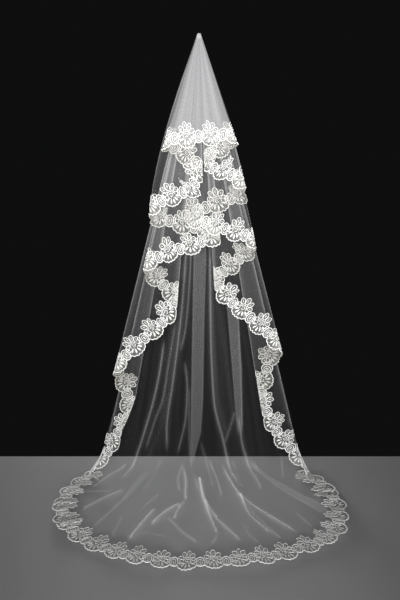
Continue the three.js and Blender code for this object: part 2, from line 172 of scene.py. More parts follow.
# Creases in the back fall and the train: width, cover added to the net's own, and the points of a smooth
# curve. A point is (sideways, down the wall and on along the floor), so 1.845 is where the floor starts.
CREASES = (
    (.006, .20, (-.15, 1.23), (-.17, 1.37), (-.20, 1.51), (-.245, 1.665), (-.34, 1.955)),
    (.006, .12, (-.10, 1.15), (-.135, 1.36), (-.16, 1.51), (-.195, 1.605), (-.245, 1.765)),
    (.006, .18, (-.05, .80), (-.075, 1.11), (-.115, 1.43), (-.145, 1.66), (-.145, 1.78)),
    (.005, .14, (-.03, .80), (-.045, 1.05), (-.062, 1.21), (-.085, 1.30)),
    (.005, .14, (-.065, 1.33), (-.052, 1.44), (-.058, 1.58), (-.085, 1.72), (-.10, 1.78)),
    (.004, .10, (-.045, 1.45), (-.045, 1.66), (-.042, 1.80)),
    (.005, .08, (-.025, 1.88), (-.015, 1.965), (-.005, 2.04)),
    (.006, .15, (-.075, 1.82), (-.09, 1.935), (-.08, 2.055)),
    (.006, .26, (-.07, 1.84), (-.055, 2.005), (-.055, 2.12)),
    (.006, .20, (-.055, 2.12), (-.085, 2.20), (-.095, 2.26)),
    (.006, .26, (-.075, 2.15), (-.125, 2.205), (-.18, 2.30)),
    (.006, .26, (-.17, 2.185), (-.20, 2.255), (-.255, 2.395)),
    (.005, .17, (-.125, 2.24), (-.065, 2.33), (-.005, 2.405)),
    (.004, .09, (-.22, 2.345), (-.17, 2.355), (-.115, 2.375)),
    (.006, .18, (-.33, 1.825), (-.39, 1.91), (-.445, 2.03)),
    (.006, .18, (-.315, 2.03), (-.39, 2.105), (-.46, 2.20)),
    (.005, .09, (-.365, 2.05), (-.435, 2.055), (-.505, 2.07)),
    (.005, .09, (-.165, 2.07), (-.20, 2.135), (-.23, 2.19)),
    (.005, .09, (-.30, 2.225), (-.31, 2.305), (-.32, 2.37)),
    (.006, .26, (0, 1.92), (.015, 2.095), (.07, 2.36)),
    (.004, .14, (.025, 2.135), (.05, 2.19), (.075, 2.255)),
    (.004, .14, (.07, 2.355), (.06, 2.385), (.045, 2.42)),
    (.005, .09, (.005, 1.715), (.035, 1.82), (.06, 2.005)),
    (.006, .22, (.045, .80), (.05, 1.19), (.065, 1.51), (.11, 1.715), (.175, 2.04)),
    (.004, .08, (.163, 1.03), (.180, 1.373), (.193, 1.66)),
    (.005, .12, (.16, 1.57), (.135, 1.655), (.115, 1.72)),
    (.006, .18, (.175, 1.58), (.193, 1.72), (.215, 1.80), (.245, 1.92), (.265, 2.04)),
    (.006, .26, (.105, 1.82), (.165, 2.08), (.37, 2.345)),
    (.005, .22, (.165, 2.085), (.195, 2.225), (.265, 2.35)),
    (.005, .15, (.15, 2.065), (.215, 2.225), (.305, 2.39)),
    (.006, .24, (0, 1.925), (.03, 2.155), (.155, 2.415)),
    (.005, .15, (.045, 1.80), (.075, 1.915), (.095, 2.095)),
    (.005, .08, (.155, 1.80), (.175, 1.955), (.19, 2.04)),
    (.005, .08, (.37, 1.775), (.375, 1.825), (.37, 1.925)),
    (.005, .09, (.17, 2.29), (.185, 2.365), (.22, 2.42)),
    (.005, .09, (.38, 2.205), (.405, 2.255), (.425, 2.305)),
    (.014, .04, (-.17, 1.785), (-.20, 1.88), (-.225, 2.04)),
    (.016, .03, (.045, .88), (.06, 1.19), (.085, 1.51), (.13, 1.70)),
    (.022, .02, (-.03, .60), (-.08, 1.10), (-.15, 1.55), (-.29, 1.95)),
    (.022, .02, (.02, .60), (.10, 1.20), (.16, 1.60), (.30, 2.05)),
)

# Bands where the cloth lies several layers deep, each between a left and a right edge of such points.
BANDS = (
    dict(left=((-.018, .60), (-.021, .876), (-.026, 1.113), (-.034, 1.511), (-.036, 1.671), (-.039, 1.842)),
         right=((.016, .60), (.029, .876), (.022, 1.113), (.016, 1.511), (.006, 1.671), (-.037, 1.842)),
         cover=.065),
    dict(left=((-.243, 1.849), (-.309, 2.079), (-.405, 2.298)),
         right=((-.205, 1.849), (-.290, 2.079), (-.395, 2.298)), cover=.14),
    dict(left=((.112, 1.020), (.126, 1.148), (.146, 1.373), (.172, 1.658)),
         right=((.158, 1.020), (.169, 1.148), (.185, 1.373), (.195, 1.701)), cover=.07),
    dict(left=((.219, 1.793), (.324, 1.990), (.475, 2.213)),
         right=((.222, 1.783), (.374, 1.999), (.507, 2.177)), cover=.18),
)


def monotone(x, xs, ys):
    """A smooth curve through the points (xs, ys) that adds no bumps of its own."""
    step = np.diff(xs)
    rise = np.diff(ys) / step
    slope = np.zeros(len(xs))
    same = rise[1:] * rise[:-1] > 0
    before, after = rise[:-1][same], rise[1:][same]
    slope[1:-1][same] = 2 * before * after / (before + after)
    slope[0] = rise[0]
    slope[-1] = rise[-1]
    i = np.clip(np.searchsorted(xs, x) - 1, 0, len(step) - 1)
    t = np.clip((x - xs[i]) / step[i], 0, 1)
    start = (1 + 2 * t) * (1 - t) ** 2 * ys[i] + t * (1 - t) ** 2 * step[i] * slope[i]
    end = t * t * (3 - 2 * t) * ys[i + 1] + t * t * (t - 1) * step[i] * slope[i + 1]
    return start + end


def smooth(t):
    """0 up to 0 and 1 from 1 on, with a soft start and end between them."""
    t = np.clip(t, 0, 1)
    return t * t * (3 - 2 * t)


def joined(*columns):
    """Coordinates side by side, as points."""
    return np.stack(columns, axis=-1)


def between(at, known, line):
    """Points at the places at, when the line's own points are at the known places."""
    return joined(*(np.interp(at, known, column) for column in line.T))


def lengths(line):
    """Length along a line from its start to each of its points."""
    return np.concatenate([[0], np.cumsum(np.hypot(*np.diff(line, axis=0).T))])


def place(slope, layer, drop):
    """Point of the hanging cloth on a layer."""
    x = slope * (drop + GATHER)
    y = -(layer - MIDDLE_LAYER) * LAYER_PITCH - layer * LAYER_SPREAD * drop
    return joined(x, y, -drop)


def flare(share, end, drop, bulge=0):
    """How much a fold's slope has grown at a drop, when its flare and its bulge end at the drop end."""
    flared = np.clip((drop - end) / FLARE_LENGTH + 1, 0, 1) ** FLARE_POWER
    bulged = 1 - np.clip(drop / end, 0, 1) ** BULGE_POWER
    return share * flared + bulge * bulged


class Fan:
    """The hanging front tier and sides, as one flat fan that is folded at its fold lines.

    turn is the angle in the flat fan, counted from the middle of the front tier; the right side has
    negative turns. Each turn has an angle from the plumb line and a layer.
    """

    def __init__(self):
        folds = [*self.side(RIGHT_FOLDS)[::-1], *self.side(LEFT_FOLDS)]
        for fold in folds[:len(RIGHT_FOLDS)]:
            fold["start"], fold["end"] = fold["end"], fold["start"]
        tips = self.lay_out(folds)
        step = np.hypot(np.diff(self.angles), LAYER_ARC * np.diff(self.layers))
        turns = np.concatenate([[0], np.cumsum(step)])
        right, left = tips[len(RIGHT_FOLDS) - 1], tips[len(RIGHT_FOLDS)]
        front = np.interp(0, [-self.angles[right], -self.angles[left]], [turns[right], turns[left]])
        self.turns = turns - front
        self.tips = self.turns[tips]
        knots = []
        for turn, fold in zip(self.tips, folds):
            knots.append((turn - STEP_TURN, fold["reach"][fold["start"] < fold["end"]]))
            knots.append((turn + STEP_TURN, fold["reach"][fold["start"] > fold["end"]]))
        self.knots = np.array(knots)
        self.lace = [fold["lace"] for fold in folds]
        self.flares = np.array([(fold["flare"], fold["drop"], fold["bulge"]) for fold in folds]).T

    def lay_out(self, folds):
        """Set the angles and layers of the mesh's columns; gives the column at the tip of each fold."""
        angles, layers, tips = [], [], []
        for k, fold in enumerate(folds):
            other = folds[k - 1] if k else folds[1]
            out = math.copysign(1, fold["angle"] - other["angle"])
            middle = (fold["start"] + fold["end"]) / 2
            half = (fold["end"] - fold["start"]) / 2
            for i in range(FOLD_STEPS + 1):
                round_turn = i / FOLD_STEPS * math.pi
                angles.append(fold["angle"] - out * fold["round"] * (1 - math.sin(round_turn)))
                layers.append(middle - half * math.cos(round_turn))
            tips.append(len(angles) - 1 - FOLD_STEPS // 2)
            if k + 1 < len(folds):
                goal = folds[k + 1]
                first, last = angles[-1], goal["angle"] + out * goal["round"]
                count = max(2, round(abs(last - first) / PANEL_STEP))
                for i in range(1, count):
                    angles.append(first + (last - first) * i / count)
                    layers.append(fold["end"])
        self.angles = np.array(angles)
        self.layers = np.array(layers)
        return tips

    @staticmethod
    def side(rows):
        """The folds of one side, with each one's angle, layers, rounding and the edge's reach at it."""
        ahead = FRONT_LAYER
        folds = []
        for row in rows:
            lean = LAYER_SPREAD * (ahead + row["behind"]) / 2
            length = math.sqrt(1 + row["slope"] ** 2 + lean ** 2)
            reach = [(row["drop"] + step + GATHER) * length for step in (0, row["step"])]
            rounding = FOLD_ROUND * min(ahead - row["behind"], 2)
            folds.append({"flare": 0, "bulge": 0, **row, "angle": math.atan(row["slope"]),
                          "start": ahead, "end": row["behind"], "reach": reach, "round": rounding})
            ahead = row["behind"]
        return folds

    def reach(self, turn):
        """Distance of the edge from the tip: straight in the flat fan from knot to knot."""
        turns, reach = self.knots.T
        i = np.clip(np.searchsorted(turns, turn) - 1, 0, len(turns) - 2)
        before, after = reach[i], reach[i + 1]
        span = np.sin(turns[i + 1] - turns[i])
        across = before * np.sin(turn - turns[i]) + after * np.sin(turns[i + 1] - turn)
        return before * after * span / across

    def point(self, turn, radius):
        """Point in space at a turn and a distance from the tip in the flat fan."""
        angle = np.interp(turn, self.turns, self.angles)
        layer = np.interp(turn, self.turns, self.layers)
        slope = np.tan(angle)
        drop = radius / np.sqrt(1 + slope ** 2 + (LAYER_SPREAD * layer) ** 2) - GATHER
        low = smooth((drop - 0.15) / 0.5)
        wave = np.sin(turn * 31) + 0.6 * np.sin(turn * 73 + 1.3)
        slope = slope * (1 + self.flare(turn, drop))
        lowest = HANG_HEIGHT - CLOTH_LIFT
        point = place(slope, layer + WAVE * low * wave, np.minimum(drop, lowest))
        lying = np.maximum(drop - lowest, 0)
        point[..., 1] -= lying
        point[..., 2] += 0.15 * lying
        return point

    def flare(self, turn, drop):
        """How much the slope has grown, shared out between the folds on both sides."""
        k = np.clip(np.searchsorted(self.tips, turn), 1, len(self.tips) - 1)
        t = np.clip((turn - self.tips[k - 1]) / (self.tips[k] - self.tips[k - 1]), 0, 1)
        share, end, bulge = self.flares
        before = flare(share[k - 1], end[k - 1], drop, bulge[k - 1])
        return (1 - t) * before + t * flare(share[k], end[k], drop, bulge[k])

    def surface(self, flat):
        """Point in space of a point in the flat fan."""
        return self.point(np.arctan2(-flat[..., 0], -flat[..., 1]), np.hypot(flat[..., 0], flat[..., 1]))

    def edge_turns(self):
        return np.linspace(self.tips[0], self.tips[-1], EDGE_POINTS)

    def edge(self):
        """The outer edge in the flat fan, from the right corner to the left one."""
        turn = self.edge_turns()
        radius = self.reach(turn)
        return joined(-radius * np.sin(turn), -radius * np.cos(turn))

    def lace_marks(self):
        """For each fold, its place along the outer edge and the part of a repeat that comes there."""
        length = lengths(self.edge())
        return list(zip(np.interp(self.tips[1:-1], self.edge_turns(), length), self.lace[1:-1]))


def crease_line(points):
    """Closely spaced points along a crease."""
    knots = lengths(points)
    way = np.linspace(0, knots[-1], 40)
    return joined(*(monotone(way, knots, column) for column in points.T))


def near_line(x, s, line):
    """Distance of each point from a line, and how far along it the nearest place is, from 0 to 1."""
    near = np.full(x.shape, 1e3)
    along = np.zeros_like(x)
    for k in range(len(line) - 1):
        (x0, s0), (x1, s1) = line[k], line[k + 1]
        dx, ds = x1 - x0, s1 - s0
        t = np.clip(((x - x0) * dx + (s - s0) * ds) / (dx * dx + ds * ds), 0, 1)
        distance = np.hypot(x - x0 - t * dx, s - s0 - t * ds)
        closer = distance < near
        near = np.where(closer, distance, near)
        along = np.where(closer, (k + t) / (len(line) - 1), along)
    return near, along


def crease_cover(x, s):
    """Cover that creases and bands add at a point of the back sheet, and how high they stand."""
    cover = np.zeros_like(x)
    height = np.zeros_like(x)
    for width, most, *points in CREASES:
        line = crease_line(np.array(points))
        margin = 6 * width
        low, high = line.min(axis=0) - margin, line.max(axis=0) + margin
        box = (x > low[0]) & (x < high[0]) & (s > low[1]) & (s < high[1])
        near, along = near_line(x[box], s[box], line)
        fade = smooth(along / 0.09) * smooth((1 - along) / 0.09)
        core = np.exp(-(near / (0.55 * width)) ** 2)
        skirt = np.exp(-(near / (1.8 * width)) ** 2)
        lying = smooth((s[box] - HANG_HEIGHT + 0.1) / 0.2)
        cover[box] += most * fade * (0.55 + 1.6 * lying) * (0.8 * core + 0.3 * skirt)
        height[box] += most * fade * (0.028 + 0.020 * lying) * skirt
    for band in BANDS:
        left, right = np.array(band["left"]), np.array(band["right"])
        x0 = np.interp(s, left[:, 1], left[:, 0])
        x1 = np.interp(s, right[:, 1], right[:, 0])
        inside = smooth((x - x0) / 0.006 + 0.5) * smooth((x1 - x) / 0.006 + 0.5)
        ends = smooth((s - left[0, 1]) / 0.06) * smooth((left[-1, 1] - s) / 0.06 + 0.5)
        edges = np.exp(-((x - x0) / 0.003) ** 2) + np.exp(-((x - x1) / 0.003) ** 2)
        cover += band["cover"] * ends * (inside + 0.6 * edges)
        height += 0.002 * ends * inside
    return cover, height


def train_outline():
    """The train's outer edge on the floor, from its left corner to its right one."""
    angle = np.linspace(0, math.pi / 2, 300)
    x = TRAIN_HALF_WIDTH * np.sin(angle) ** (2 / TRAIN_POWER)
    y = -TRAIN_STRAIGHT - TRAIN_ROUND * np.cos(angle) ** (2 / TRAIN_POWER)
    t = np.linspace(0, 1, 120)[1:]
    side_x = TRAIN_HALF_AT_WALL + (TRAIN_HALF_WIDTH - TRAIN_HALF_AT_WALL) * (1 - t ** 2)
    side_y = -(TRAIN_STRAIGHT + (TRAIN_START - TRAIN_STRAIGHT) * t)
    half = joined(np.concatenate([x, side_x]), np.concatenate([y, side_y]))
    outline = np.concatenate([half[::-1] * (-1, 1), half[1:]])
    angle = np.degrees(np.arctan2(outline[:, 0], -outline[:, 1]))
    fuller = FRONT_FULLER * smooth((FRONT_FULLER_TO - np.abs(angle)) / FRONT_FULLER_FADE)
    fuller += RIGHT_FULLER * np.exp(-((angle - RIGHT_FULLER_AT) / RIGHT_FULLER_SPREAD) ** 2)
    return outline * (1 + fuller / np.hypot(outline[:, 0], outline[:, 1]))[:, None]


def train_lace_line():
    """The outer edge with a short turn at each corner, where the lace runs on under the hanging edge."""
    outline = train_outline()
    turn = np.linspace(1, 0, 60)[:, None]
    corner = np.array([-CORNER_TURN, TRAIN_START * 0.6])
    left = outline[0] + corner * (-1, 1) * np.hstack([turn, turn ** 2])
    right = outline[-1] + corner * np.hstack([turn, turn ** 2])
    return np.concatenate([left[:-1], outline, right[::-1][1:]])


def even(line, count):
    """The same line with evenly spaced points."""
    length = lengths(line)
    return between(np.linspace(0, length[-1], count), length, line)


def back_point(x, s, height):
    """Point of the back sheet: down the wall, round a bend and on along the floor."""
    wall_y = MIDDLE_LAYER * LAYER_PITCH
    t = np.clip((s - (HANG_HEIGHT - BEND_RADIUS)) / (2 * BEND_RADIUS), 0, 1)
    bend = t * math.pi / 2
    lying = s > HANG_HEIGHT + BEND_RADIUS
    y = np.where(lying, HANG_HEIGHT - s, wall_y * (1 - t) - BEND_RADIUS * (1 - np.cos(bend)))
    lift = FLOOR + CLOTH_LIFT
    z = np.where(t > 0, lift + (BEND_RADIUS - CLOTH_LIFT) * (1 - np.sin(bend)), -s)
    return joined(x, y - height * np.cos(bend), z + height * np.sin(bend))


def slow_swell(x, s):
    """Low, soft swellings of the cloth on the floor and slight waves on the wall."""
    slope = x / (s + GATHER)
    wall = 0.003 * np.sin(slope * 34) * smooth((s - 0.3) / 0.6)
    floor = 0.0035 * (1 + np.sin(slope * 41 + 2.1 * s)) * smooth((s - HANG_HEIGHT) / 0.15)
    at_side = smooth((np.abs(x) - 0.38) / 0.12) * (1.5 + np.sin(43 * s + 9 * x) + 0.5 * np.sin(71 * s + 2))
    at_front = smooth((s - 2.33) / 0.10) * (1.5 + np.sin(37 * x + 1) + 0.5 * np.sin(83 * x + 3))
    floor = floor + EDGE_RUMPLE * smooth((s - HANG_HEIGHT) / 0.15) * np.maximum(at_side, 0.6 * at_front)
    return np.where(s < HANG_HEIGHT, np.abs(wall), floor + 0.0008)


def train_surface(flat):
    """Point in space of a point on the floor under the train."""
    x = flat[..., 0]
    s = HANG_HEIGHT - flat[..., 1]
    return back_point(x, s, slow_swell(x, s) + 0.0012)


NO_TRIS = np.zeros((0, 3), dtype=int)


class Shape:
    """Vertices, faces, stitch directions and a painted shade value, gathered piece by piece."""

    def __init__(self):
        self.points, self.stitches, self.quads, self.tris = [], [], [], []
        self.count = 0

    def add(self, points, stitches, quads, tris=NO_TRIS):
        self.points.append(np.reshape(points, (-1, 3)))
        self.stitches.append(np.reshape(stitches, (-1, 3)))
        self.quads.append(np.reshape(quads, (-1, 4)) + self.count)
        self.tris.append(np.reshape(tris, (-1, 3)) + self.count)
        self.count += len(self.points[-1])

    def whole(self):
        return [np.concatenate(part) for part in (self.points, self.stitches, self.quads, self.tris)]


def make_mesh(name, points, quads, tris=NO_TRIS, **attributes):
    """A smooth object from points and faces, with values or vectors at the points as attributes."""
    mesh = bpy.data.meshes.new(name)
    corners = np.concatenate([quads.ravel(), tris.ravel()]).astype(np.int32)
    sizes = np.concatenate([np.full(len(quads), 4), np.full(len(tris), 3)])
    starts = np.concatenate([[0], np.cumsum(sizes)[:-1]]).astype(np.int32)
    mesh.vertices.add(len(points))
    mesh.vertices.foreach_set("co", points.astype(np.float32).ravel())
    mesh.loops.add(len(corners))
    mesh.loops.foreach_set("vertex_index", corners)
    mesh.polygons.add(len(sizes))
    mesh.polygons.foreach_set("loop_start", starts)
    mesh.update(calc_edges=True)
    mesh.polygons.foreach_set("use_smooth", np.ones(len(sizes), dtype=bool))
    for key, values in attributes.items():
        kind, field = ("FLOAT", "value") if values.ndim == 1 else ("FLOAT_VECTOR", "vector")
        made = mesh.attributes.new(key, kind, "POINT")
        made.data.foreach_set(field, values.astype(np.float32).ravel())
    piece = bpy.data.objects.new(name, mesh)
    bpy.context.scene.collection.objects.link(piece)
    return piece


def grid_quads(rows, columns):
    """The faces of a grid of points, row by row."""
    index = np.arange(rows * columns).reshape(rows, columns)
    quads = joined(index[:-1, :-1], index[:-1, 1:], index[1:, 1:], index[1:, :-1])
    return quads.reshape(-1, 4)


# Lace motif. Its own coordinates are u along the edge, from 0 to REPEAT, v inwards from the outer
# edge, and w out of the cloth on the right side, all in metres. One repeat is a spray of flowers on a
# broad lobe, and an oval link beside it.
SPRAY = 0.060                # middle of the spray
SPRAY_HALF = 0.033
LINK = 0.013                 # middle of the link
LINK_HALF = 0.014
LOBE = 0.016                 # how far the broad lobe stands out
BUMP = 0.0042                # depth of the small bumps along it
CORD = 0.0019                # radius of the edge cord
THIN_CORD = 0.0014
FINE_CORD = 0.0010


def from_middle(u, middle):
    """Distance along the edge from the nearest repeat of middle."""
    return (u - middle + REPEAT / 2) % REPEAT - REPEAT / 2


def scallop(u):
    """How far in the outer edge lies: a broad lobe of five small bumps, then the link's small lobe."""
    spray = from_middle(u, SPRAY) / SPRAY_HALF
    link = from_middle(u, LINK) / LINK_HALF
    bumps = 1 - np.abs(np.sin(2.5 * math.pi * (spray + 1)))
    broad = LOBE * np.abs(spray) ** 2.8 + BUMP * bumps
    small = LOBE + BUMP - 0.006 * (1 - link ** 2)
    return np.where(np.abs(spray) < 1, broad, small)


def crown(u):
    """Where the lace's inner edge lies: high over the spray, low over the link."""
    spray = np.clip(from_middle(u, SPRAY) / 0.032, -1, 1)
    link = np.clip(from_middle(u, LINK) / LINK_HALF, -1, 1)
    return 0.043 + np.maximum(0.047 * np.sqrt(1 - spray ** 2), 0.016 * np.sqrt(1 - link ** 2))


def ring(centre, angle, half_width, half_height):
    """Points round centre, at angles in radians."""
    across, up = half_width * np.cos(angle), half_height * np.sin(angle)
    return joined(centre[0] + across, centre[1] + up)


def arc(centre, radius, start, end, count):
    """Points of an arc round centre, angles in degrees."""
    return ring(centre, np.radians(np.linspace(start, end, count)), radius, radius)


def around(centre, angle, distance):
    """The point at that distance from centre, along angle in degrees."""
    return ring(centre, math.radians(angle), distance, distance)


def oval(centre, half_width, half_height, count):
    """Closed outline of an upright oval."""
    return ring(centre, np.linspace(0, 2 * math.pi, count, endpoint=False), half_width, half_height)


def leaf_line(base, angle, length, width, count=14, blunt=0.75):
    """Closed outline of a petal that starts at base and points along angle, in degrees."""
    t = np.linspace(0, 2 * math.pi, count, endpoint=False)
    along = length * (0.5 - 0.5 * np.cos(t))
    across = width / 2 * np.sin(t) * (0.5 - 0.5 * np.cos(t)) ** (1 - blunt)
    c, s = math.cos(math.radians(angle)), math.sin(math.radians(angle))
    return joined(base[0] + along * c - across * s, base[1] + along * s + across * c)


def bend(start, pull, end, count):
    """Points of a curve from start to end, drawn towards pull."""
    t = np.linspace(0, 1, count)[:, None]
    start, pull, end = (np.array(point) for point in (start, pull, end))
    return start * (1 - t) ** 2 + 2 * pull * t * (1 - t) + end * t ** 2


def cord(shape, line, radius, sides=5, closed=False, raised=0.0):
    """A round thread along a line of (u, v) points."""
    line = np.asarray(line)
    if closed:
        tangent = np.roll(line, -1, axis=0) - np.roll(line, 1, axis=0)
    else:
        tangent = np.gradient(line, axis=0)
    tangent /= np.maximum(np.linalg.norm(tangent, axis=1, keepdims=True), 1e-9)
    side = joined(-tangent[:, 1], tangent[:, 0])
    angle = np.arange(sides) / sides * 2 * math.pi
    flat = line[:, None] + side[:, None] * (radius * np.cos(angle))[None, :, None]
    height = np.broadcast_to(raised + radius * (0.8 + np.sin(angle)), flat.shape[:2])
    points = np.concatenate([flat, height[..., None]], axis=-1)
    step = np.linalg.norm(np.diff(line, axis=0), axis=1)
    along = np.concatenate([[0], np.cumsum(step)])
    stitches = np.zeros(points.shape)
    stitches[..., 0] = along[:, None]
    stitches[..., 1] = angle * radius
    # The third value marks the cord's underside, towards the cloth, where painted shade goes
    stitches[..., 2] = smooth(-1.5 * np.sin(angle))
    count = len(line)
    row = np.arange(count if closed else count - 1)[:, None] * sides
    next_row = (row + sides) % (count * sides)
    k = np.arange(sides)
    k_next = (k + 1) % sides
    quads = joined(row + k, row + k_next, next_row + k_next, next_row + k)
    last = (count - 1) * sides
    ends = [[(0, i + 1, i), (last, last + i, last + i + 1)] for i in range(1, sides - 1)]
    shape.add(points, stitches, quads, NO_TRIS if closed else ends)


def filled(shape, outline, height, raised=0.0002):
    """A padded satin-stitched shape inside a closed outline."""
    outline = np.asarray(outline)
    centre = outline.mean(axis=0)
    count = len(outline)
    inner = centre + (outline - centre) * 0.6
    rings = [(outline, raised), (inner, raised + 0.85 * height)]
    points = [np.column_stack([line, np.full(count, w)]) for line, w in rings]
    points.append([[centre[0], centre[1], raised + height]])
    points.append([[centre[0], centre[1], raised - 0.0002]])
    points = np.concatenate(points)
    axis = outline[count // 2] - outline[0]
    axis = axis / max(np.linalg.norm(axis), 1e-9)
    offset = points[:, :2] - outline[0]
    along = offset @ axis
    across = offset @ np.array([-axis[1], axis[0]])
    # The point under the middle gets the painted shade of the underside
    underside_shade = np.zeros(len(points))
    underside_shade[-1] = 1
    stitches = np.column_stack([along + 0.5 * np.abs(across), across, underside_shade])
    i = np.arange(count)
    j = (i + 1) % count
    quads = np.column_stack([i, j, j + count, i + count])
    top = np.column_stack([i + count, j + count, np.full(count, 2 * count)])
    bottom = np.column_stack([j, i, np.full(count, 2 * count + 1)])
    shape.add(points, stitches, quads, np.concatenate([top, bottom]))


def edge_line(count, inwards=0.0):
    """The scalloped edge of one repeat, moved inwards."""
    u = np.linspace(0, REPEAT, count)
    return np.column_stack([u, scallop(u) + inwards])


WAIST = (SPRAY, 0.0450)      # where the flower and the fan of leaves under it meet
HEART = 0.0065               # radius of the flower's small middle ring
RING = 0.0170                # radius of the broken ring round it
FLOWER_PETALS = (
    dict(angle=14, length=0.0310, width=0.0140),
    dict(angle=50, length=0.0410, width=0.0160),
    dict(angle=84, length=0.0465, width=0.0160),
    dict(angle=116, length=0.0430, width=0.0150),
    dict(angle=150, length=0.0360, width=0.0150),
)
FAN_LEAVES = (
    dict(angle=-158, length=0.0300),
    dict(angle=-126, length=0.0330),
    dict(angle=-97, length=0.0355),
    dict(angle=-68, length=0.0345),
    dict(angle=-36, length=0.0310),
)


def spray_cords(shape):
    """The corded flower, its rings and the stems that cross under it."""
    for k, petal in enumerate(FLOWER_PETALS):
        base = around(WAIST, petal["angle"], RING)
        line = leaf_line(base, petal["angle"], petal["length"] - RING, petal["width"], 14, 0.95)
        cord(shape, line, THIN_CORD, 4, True, 0.0002 * (k % 2))
    cord(shape, arc(WAIST, RING - 0.0035, -35, 190, 16), THIN_CORD, 4, False, 0.0003)
    cord(shape, arc(WAIST, HEART, 20, 330, 12), THIN_CORD, 4, False, 0.0003)
    for side in (-1, 1):
        foot = (SPRAY + side * 0.0280, 0.0230)
        stem = bend(foot, (SPRAY + side * 0.0190, 0.0350), (SPRAY + side * 0.0030, 0.0330), 9)
        cord(shape, stem, FINE_CORD, 4)


def link_cords(shape):
    """The corded link, one loop inside another, and a leaf on each side of the spray."""
    cord(shape, oval((LINK, 0.0370), 0.0145, 0.0215, 24), THIN_CORD * 1.2, 5, True)
    cord(shape, oval((LINK - 0.0010, 0.0360), 0.0080, 0.0135, 18), THIN_CORD, 4, True)
    for side, length in ((-1, 0.0260), (1, 0.0240)):
        foot = (SPRAY + side * 0.0270, 0.0300)
        cord(shape, leaf_line(foot, 90 - side * 14, length, 0.0110, 14), THIN_CORD, 4, True)


def motif_cords():
    """The corded lines of one repeat."""
    shape = Shape()
    cord(shape, edge_line(58, 0.0019), CORD, 5)
    spray_cords(shape)
    link_cords(shape)
    return shape


def motif_satin():
    """The padded, satin-stitched parts of one repeat."""
    shape = Shape()
    for leaf in FAN_LEAVES:
        base = around(WAIST, leaf["angle"], 0.0140)
        filled(shape, leaf_line(base, leaf["angle"], leaf["length"] - 0.0140, 0.0085, 12), 0.0009)
    for petal in FLOWER_PETALS:
        base = around(WAIST, petal["angle"], RING + 0.0060)
        filled(shape, leaf_line(base, petal["angle"], petal["length"] - RING - 0.0130, 0.0036, 8), 0.0006)
    for angle in (30, 90, 150):
        base = around(WAIST, angle, 0.0085)
        filled(shape, leaf_line(base, angle, 0.0045, 0.0035, 6), 0.0006)
    filled(shape, oval(WAIST, 0.0020, 0.0020, 8), 0.0009)
    filled(shape, leaf_line((LINK - 0.0010, 0.0270), 90, 0.0180, 0.0060, 10), 0.0006)
    for side, length in ((-1, 0.0160), (1, 0.0140)):
        foot = (SPRAY + side * 0.0260, 0.0345)
        filled(shape, leaf_line(foot, 90 - side * 14, length, 0.0040, 8), 0.0006)
    return shape


def motif_ground():
    """The dense ground of one repeat, from the edge cord to the crown."""
    shape = Shape()
    rows, columns = 8, 25
    u = np.linspace(0, REPEAT, columns)
    t = np.linspace(0, 1, rows)[:, None]
    v = (scallop(u) + 0.0012) * (1 - t) + crown(u) * t
    grid = joined(np.broadcast_to(u, v.shape), v, np.full(v.shape, -0.0003))
    shape.add(grid, grid, grid_quads(rows, columns))
    return shape


class Band:
    """The lace along an edge line: u runs along the edge, v inwards."""

    def __init__(self, line, inwards, surface, sign, marks=(), back_steps=()):
        self.line = even(line, 2400)
        self.u = lengths(self.line)
        self.total = self.u[-1]
        tangent = np.gradient(self.line, axis=0)
        normal = joined(-tangent[:, 1], tangent[:, 0]) * inwards
        soft = np.ones(61) / 61
        padded = np.pad(normal, ((30, 30), (0, 0)), mode="edge")
        normal = np.stack([np.convolve(padded[:, k], soft, "valid") for k in (0, 1)], axis=-1)
        self.normal = normal / np.linalg.norm(normal, axis=1, keepdims=True)
        self.surface = surface
        self.sign = sign
        self.back_steps = back_steps
        self.cloth = self.total + sum(2 * step["length"] for step in back_steps)
        self.set_repeats(marks)

    def set_repeats(self, marks):
        """Spread the repeats evenly between the marks, each a place and the part of a repeat there."""
        self.numbers = [0.0]
        self.places = [0.0]
        for mark, part in marks:
            number = self.numbers[-1] + (mark - self.places[-1]) / REPEAT
            self.numbers.append(round(number - part) + part)
            self.places.append(mark)
        left = (self.cloth - self.places[-1]) / REPEAT
        self.repeats = math.ceil(self.numbers[-1] + left - 0.5)
        self.numbers.append(self.repeats)
        self.places.append(self.cloth)

    def fold_back(self, cloth):
        """Place along the edge of a length of lace, and how many layers lie under it.

        At each back step the lace turns back on itself for that length and goes on again."""
        at = np.array(cloth, dtype=float)
        lift = np.zeros_like(at)
        for step in self.back_steps:
            start, length = step["start"], step["length"]
            turned = np.clip(at - start, 0, length)
            again = np.clip(at - start - length, 0, None)
            passed = at > start
            lift = lift + np.where(passed, 2 * smooth(turned / length) * (at < start + 2 * length), 0)
            at = np.where(passed, start - turned + again, at)
        return at, lift

    def place(self, u, v):
        """Point in space of a place on the lace."""
        at, lift = self.fold_back(u)
        inwards = between(at, self.u, self.normal)
        point = self.surface(between(at, self.u, self.line) + v[..., None] * inwards)
        point[..., 2] += LACE_LIFT * lift
        return point

    def map(self, u, v, w):
        """Point in space at a height w out of the lace."""
        e = 0.0012
        along = self.place(u + e, v) - self.place(u - e, v)
        inwards = self.place(u, v + e) - self.place(u, v - e)
        normal = self.sign * np.cross(along, inwards)
        normal /= np.maximum(np.linalg.norm(normal, axis=-1, keepdims=True), 1e-12)
        return self.place(u, v) + normal * w[..., None]


